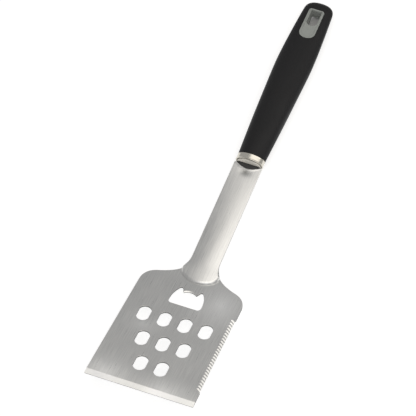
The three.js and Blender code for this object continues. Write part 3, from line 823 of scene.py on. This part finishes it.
def blade_and_neck():
    slots = []
    for row, count in enumerate(SLOT_ROWS):
        for i in range(count):
            x = (i - (count - 1) / 2) * SLOT_PITCH
            slots.append(drain_slot(x, LAST_ROW_Y + row * SLOT_ROW_PITCH))
    blade = plate("blade", blade_outline(), [*slots, opener_window()], -SHEET, 0, EDGE_ROUND)
    grind_front_edge(blade)
    combine(blade, tooth_flutes(), "DIFFERENCE", crossing=True)
    combine(blade, claw_chamfer(), "DIFFERENCE")
    neck = loft("neck", [*tongue_loops(), *neck_loops(), *lip_loops()])
    gather(neck, tang())
    for face in blade.data.polygons:
        # The cut sides take the dark cut steel, whose colour is painted shade along the sheet's edges.
        if abs(face.normal.z) < 0.5:
            face.material_index = CUT_FACE
        elif face.center.y < EDGE_BEVEL_LENGTH and face.normal.z > 0:
            face.material_index = GROUND_FACE
    shade(blade, PLATE_CREASE)
    shade(neck, NECK_CREASE)
    gather(blade, neck)
    blade.name = "steel_turner"
    finish_piece(blade, "blade_and_neck", [STEEL, GROUND, CUT_WITH_PAINTED_SHADE], None)


# ---------- handle ----------

def handle_place(y):
    """Matrix of the handle's own frame at y: x across, y along its axis, z outward."""
    slope = math.atan(axis_slope(y))
    return Matrix.Translation((0, y, axis_height(y))) @ Matrix.Rotation(slope, 4, "X")


def profile(knots):
    """Smooth curve through half sizes given at shares of the grip's length."""
    samples = []
    last = len(knots) - 1
    for i in range(121):
        spot = i / 120 * last
        k = min(last - 1, int(spot))
        t = spot - k
        p = [Vector(knots[min(last, max(0, k + j))]) for j in (-1, 0, 1, 2)]
        if k == 0:
            p[0] = p[1]
        a = p[1] * 2 + (p[2] - p[0]) * t
        b = (p[0] * 2 - p[1] * 5 + p[2] * 4 - p[3]) * t * t
        c = (-p[0] + p[1] * 3 - p[2] * 3 + p[3]) * t ** 3
        samples.append((a + b + c) / 2)

    def value(share):
        for a, b in zip(samples, samples[1:]):
            if b.x > share:
                return lerp(a.y, b.y, clamp01((share - a.x) / (b.x - a.x)))
        return samples[-1].y

    return value


grip_width = profile([
    (-0.06, 12.3),
    (0, 12.55),
    (0.2, 14.1),
    (0.42, 15.5),
    (0.6, 16.4),
    (0.78, 15.3),
    (1, 12.7),
])
grip_top = profile([(-0.06, 7.7), (0, 7.9), (0.25, 8.5), (0.5, 7.9), (0.75, 5.7), (1, 4.6)])
grip_belly = profile([(-0.06, 7.7), (0, 7.9), (0.25, 8.7), (0.5, 8.6), (0.75, 7.1), (1, 5.9)])


def grip_loop(y, inset, lip=0.0):
    t = (y - GRIP_START_Y) / (GRIP_END_Y - GRIP_START_Y)
    rounding = max(0, (y - (GRIP_END_Y - END_ROUNDING)) / (END_ROUNDING - inset))
    shrink = max(0, 1 - rounding ** END_SQUARENESS) ** 0.5
    power = lerp(2, 2.35, clamp01(t * 4))

    def size(value):
        return max(0.5, (value - inset) * shrink - lip)

    width, top, belly = size(grip_width(t)), size(grip_top(t)), size(grip_belly(t))
    matrix = handle_place(y)
    loop = []
    for i in range(GRIP_SIDES):
        angle = 2 * math.pi * i / GRIP_SIDES
        c, s = math.cos(angle), math.sin(angle)
        x = width * math.copysign(abs(c) ** (2 / power), c)
        z = (top if s > 0 else belly) * math.copysign(abs(s) ** (2 / power), s)
        loop.append(matrix @ Vector((x, 0, z)))
    return loop


def grip_loft(name, start, inset, lip):
    end = GRIP_END_Y - inset
    loops = []
    for i in range(4):
        angle = math.pi / 2 * i / 3
        loops.append(grip_loop(start + lip * (1 - math.cos(angle)), inset, lip * (1 - math.sin(angle))))
    round_start = end - END_ROUNDING + inset
    first = start + lip
    for i in range(1, 45):
        loops.append(grip_loop(lerp(first, round_start, i / 45), inset))
    for i in range(19):
        share = math.sin(math.pi / 2 * i / 18)
        loops.append(grip_loop(lerp(round_start, end - 0.02, share), inset))
    return loft(name, loops)


def liner_outline(grow):
    w = LINER_HALF_WIDTH + grow
    back = LINER_HALF_LENGTH + grow
    front = -back
    r = LINER_CORNER + grow
    start_y = front + 6.4 + grow * 0.5
    right = [
        *bezier([(0, front), (w * 0.55, front), (w, front + 2.2), (w, start_y)], 14),
        *arc(w - 0.25 - r, back - r, r, 0, math.pi / 2, 8),
    ]
    return [(0, front), *right, *[(-x, y) for x, y in right[::-1]]]


def hang_hole():
    w, front, back = HOLE_HALF_WIDTH, HOLE_FRONT, HOLE_BACK
    right = [
        *bezier([(0, front), (w * 0.6, front), (w, front + 2.6)], 9),
        (w - 0.1, back - 0.6),
        *bezier([(w - 0.1, back - 0.6), (w - 0.1, back), (w - 0.7, back)], 4),
    ]
    return [(0, front), *right, *[(-x, y) for x, y in right[::-1]]]


def on_handle(piece, y):
    piece.data.transform(handle_place(y))
    return piece


def liner_pocket():
    return on_handle(plate("pocket", liner_outline(GAP), [], -POCKET_REACH, POCKET_REACH, 0), LINER_Y)


def soft_grip():
    skin = grip_loft("soft_grip_skin", GRIP_START_Y, 0, GRIP_LIP)
    inner = grip_loft("inner", GRIP_START_Y - 4, GRIP_WALL, 0.01)
    combine(skin, inner, "DIFFERENCE")
    combine(skin, liner_pocket(), "DIFFERENCE")
    finish_piece(skin, "soft_grip", [RUBBER], 40)


def liner_half(name, low, high, recess_low, recess_high):
    half = plate(name, liner_outline(0), [hang_hole()], low, high, LINER_ROUND)
    recess = plate("recess", liner_outline(-LINER_RIM), [], recess_low, recess_high, 0)
    combine(half, recess, "DIFFERENCE")
    return half


def hang_liner():
    top = liner_half("liner_upper", GAP / 2, LINER_TOP, LINER_TOP - LINER_RECESS, LINER_TOP + 1)
    bottom = liner_half("liner_lower", LINER_BOTTOM, -GAP / 2, LINER_BOTTOM - 1, LINER_BOTTOM + LINER_RECESS)
    front, back = HOLE_BACK - 1, LINER_HALF_LENGTH + 2.5
    for side in (-1, 1):
        left = side * WINDOW_X - WINDOW_HALF_WIDTH
        right = side * WINDOW_X + WINDOW_HALF_WIDTH
        outline = [(left, front), (right, front), (right, back), (left, back)]
        combine(bottom, plate("window", outline, [], WINDOW_LOW, WINDOW_HIGH, 0), "DIFFERENCE")
    finish_piece(on_handle(top, LINER_Y), "hang_liner_top", [GREY])
    finish_piece(on_handle(bottom, LINER_Y), "hang_liner_bottom", [GREY])


def ferrule_ring():
    bead, wall, length = RING_BEAD, RING_WALL, RING_LENGTH
    steps = [
        (0, -wall), (0, -0.3), (0.06, -0.05), (0.2, bead * 0.75), (0.38, bead), (0.62, bead),
        (0.85, bead * 0.6), (1.02, 0.02), (1.2, -0.02), (1.5, 0), (length - 1.2, 0), (length - 0.95, 0),
        (length - 0.78, bead * 0.55), (length - 0.55, bead), (length - 0.3, bead),
        (length - 0.1, bead * 0.4), (length, -0.15), (length, -wall),
    ]
    sides = 144
    matrix = handle_place(RING_FRONT_Y)
    points, faces = [], []
    for i in range(sides):
        angle = 2 * math.pi * i / sides
        for along, out in steps:
            x = (RING_HALF_WIDTH + out) * math.cos(angle)
            z = (RING_HALF_HEIGHT + out) * math.sin(angle)
            points.append(matrix @ Vector((x, along, z)))
    n = len(steps)
    for i in range(sides):
        for j in range(n):
            k, m = (i + 1) % sides, (j + 1) % n
            faces.append((i * n + j, i * n + m, k * n + m, k * n + j))
    ring = mesh_from("ferrule_band", points, faces)
    finish_piece(ring, "ferrule_ring", [POLISHED], 60)


def ferrule_face():
    """Oval plate closing the ring's mouth, with a prow-shaped front and a slot."""
    width = RING_HALF_WIDTH - RING_WALL - 2 * GAP
    height = RING_HALF_HEIGHT - RING_WALL - 2 * GAP
    loops = []
    for i in range(33):
        angle = math.pi * (i / 32 - 0.5) * 0.98
        z = height * math.sin(angle)
        reach = width * math.cos(angle)
        front = FACE_PROW * min(1, (1 - abs(z) / height) * 1.3) + 0.1
        columns = [reach * (c / 12 - 1) for c in range(25)]
        fore = [(x, -front, z) for x in columns]
        aft = [(x, FACE_THICKNESS - front, z) for x in columns[::-1]]
        loops.append([*fore, *aft])
    face = loft("ferrule_plate", loops)
    reach = TANG_HALF_WIDTH + 0.9
    corners = [(-reach, -3, -2.5), (reach, -3, -2.5), (reach, -3, FACE_CHORD), (-reach, -3, FACE_CHORD)]
    combine(face, loft("slot", [corners, [(x, 2, z) for x, _, z in corners]]), "DIFFERENCE")
    face.data.transform(handle_place(RING_FRONT_Y))
    finish_piece(face, "ferrule_face", [SATIN], 25)


def handle_core():
    core = frame["nodes"]["handle_core"]
    for spot in core.material_slots:
        spot.material = CORE


# ---------- studio ----------

CAMERA_SPOT = (849.81, -1916.31, 2581.58)
CAMERA_AZIMUTH = 22.345
CAMERA_ELEVATION = 48.337
CAMERA_SIDE_SHIFT = 0.5
SENSOR = 36.0
LENS = 346.15385
FLOOR_Z = -0.0002
FLOOR_GLOW = 0.7
# Painted shadow under the handle's end: the floor's glow there and the spot's reach.
PAINTED_SHADOW_GLOW = 0.03
PAINTED_SHADOW_REACH = (0.0125, 0.026)


def make_camera():
    a, e = math.radians(CAMERA_AZIMUTH), math.radians(CAMERA_ELEVATION)
    right = Vector((math.cos(a), math.sin(a), 0))
    up = Vector((-math.sin(a) * math.sin(e), math.cos(a) * math.sin(e), math.cos(e)))
    back = right.cross(up)
    turn = Matrix((right, up, back)).transposed().to_4x4()
    spot = Vector(CAMERA_SPOT) + Vector((CAMERA_SIDE_SHIFT, 0, 0))
    data = bpy.data.cameras.new("camera")
    data.sensor_width = SENSOR
    data.lens = LENS
    data.clip_end = 20
    camera = bpy.data.objects.new("camera", data)
    bpy.context.scene.collection.objects.link(camera)
    camera.matrix_world = DRAWN @ Matrix.Translation(spot * MM) @ turn
    bpy.context.scene.camera = camera


def softbox(name, centre, size, power, aim, color):
    data = bpy.data.lights.new(name, "AREA")
    data.shape = "RECTANGLE"
    data.size, data.size_y = size
    data.energy = power
    data.color = color
    light = bpy.data.objects.new(name, data)
    bpy.context.scene.collection.objects.link(light)
    light.location = centre
    toward = Vector(centre) - Vector(aim)
    light.rotation_mode = "QUATERNION"
    light.rotation_quaternion = toward.to_track_quat("Z", "Y")
    light.visible_camera = False
    return light


def make_floor():
    """Glowing white paper, with a painted shadow: its glow fades in a spot under the handle's end."""
    floor = link("floor", bpy.data.meshes.new("floor"))
    half = 6.0
    floor.data.from_pydata(
        [(x, y, FLOOR_Z) for x, y in ((-half, -half), (half, -half), (half, half), (-half, half))],
        [],
        [(0, 1, 2, 3)],
    )
    material, shader = new_material("paper", color=(0.45, 0.45, 0.45), metallic=0.0, roughness=0.9)
    tree = material.node_tree
    where = tree.nodes.new("ShaderNodeTexCoord")
    mapping = tree.nodes.new("ShaderNodeMapping")
    spot = tree.nodes.new("ShaderNodeTexGradient")
    spot.gradient_type = "SPHERICAL"
    # Painted shadow: the floor's glow fades in an oval spot under the hang hole, standing in for the handle's
    # shadow seen through it.
    low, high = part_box("hang_liner_bottom")
    middle = (low[1] + high[1]) / 2
    mapping.vector_type = "TEXTURE"
    mapping.inputs["Location"].default_value = (0, middle, FLOOR_Z)
    mapping.inputs["Scale"].default_value = (*PAINTED_SHADOW_REACH, 1)
    tree.links.new(where.outputs["Object"], mapping.inputs["Vector"])
    tree.links.new(mapping.outputs["Vector"], spot.inputs["Vector"])
    glow = ranged(material, spot.outputs["Fac"], FLOOR_GLOW, PAINTED_SHADOW_GLOW, (0, 0.35))
    shader.inputs["Emission Color"].default_value = (1, 1, 1, 1)
    tree.links.new(glow, shader.inputs["Emission Strength"])
    shader.inputs["Specular IOR Level"].default_value = 0.1
    floor.data.materials.append(material)


def make_world():
    world = bpy.data.worlds.new("room")
    world.use_nodes = True
    world.node_tree.nodes["Background"].inputs["Color"].default_value = (0.42, 0.42, 0.42, 1)
    bpy.context.scene.world = world


def studio():
    make_floor()
    make_world()
    softbox(
        "overhead",
        centre=(0.80, 0.05, 1.6),
        size=(2.3, 2.4),
        power=19,
        aim=(0.80, 0.05, 0),
        color=(1.0, 0.955, 0.89),
    )
    softbox(
        "front_fill",
        centre=(0.5, -1.3, 1.35),
        size=(2.2, 0.6),
        power=5,
        aim=(0, 0, 0),
        color=(1.0, 0.98, 0.95),
    )
    bpy.context.scene.view_settings.view_transform = "Standard"


# ---------- the whole scene ----------

blade_and_neck()
ferrule_ring()
ferrule_face()
handle_core()
soft_grip()
hang_liner()
make_camera()
studio()

bpy.context.view_layer.update()
